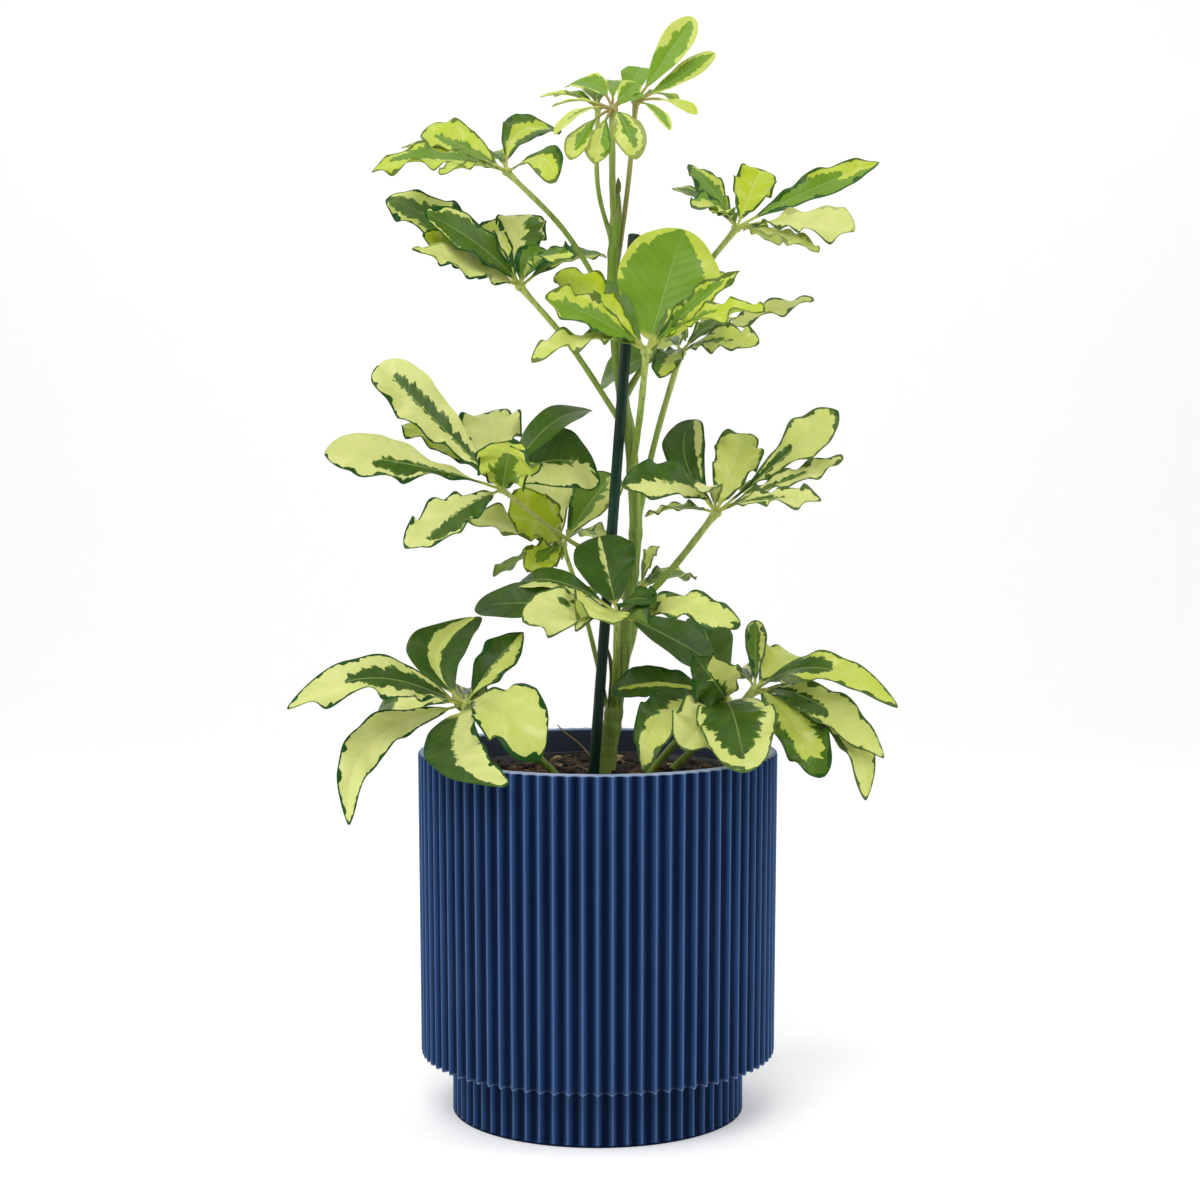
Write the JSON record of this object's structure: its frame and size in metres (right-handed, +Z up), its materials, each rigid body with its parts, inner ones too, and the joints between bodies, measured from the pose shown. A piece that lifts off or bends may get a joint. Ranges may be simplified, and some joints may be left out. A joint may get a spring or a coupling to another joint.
{
  "type": "potted umbrella plant",
  "caption": "Variegated umbrella plant in a round fluted planter with a narrower fluted foot, held upright by a thin stake beside its stem.",
  "frame": {"origin": "centre of the planter's foot, on the surface that it stands on", "axes": "+Z up along the planter, -Y towards the picture's viewer, +X to the viewer's right"},
  "size_m": [0.3189, 0.2046, 0.607],
  "materials": {
    "glazed_blue": "satin",
    "pot_black": "matte",
    "potting_mix": "matte",
    "stake_green": "satin",
    "stem_green": "satin",
    "leaf": "satin"
  },
  "bodies": {
    "root": {"planter": "glazed_blue", "grow_pot": "pot_black", "soil": "potting_mix", "stake": "stake_green", "stem": "stem_green", "frond_crown": "leaf", "frond_crown_right": "leaf", "frond_crown_left": "leaf", "frond_upper_left": "leaf", "frond_second_left": "leaf", "frond_upper_right": "leaf", "frond_centre_front": "leaf", "frond_centre_back": "leaf", "frond_mid_left": "leaf", "frond_mid_left_back": "leaf", "frond_mid_right": "leaf", "frond_low_front": "leaf", "frond_low_back": "leaf", "frond_base_right_front": "leaf", "frond_base_right": "leaf", "frond_base_left": "leaf"}
  },
  "joints": []
}
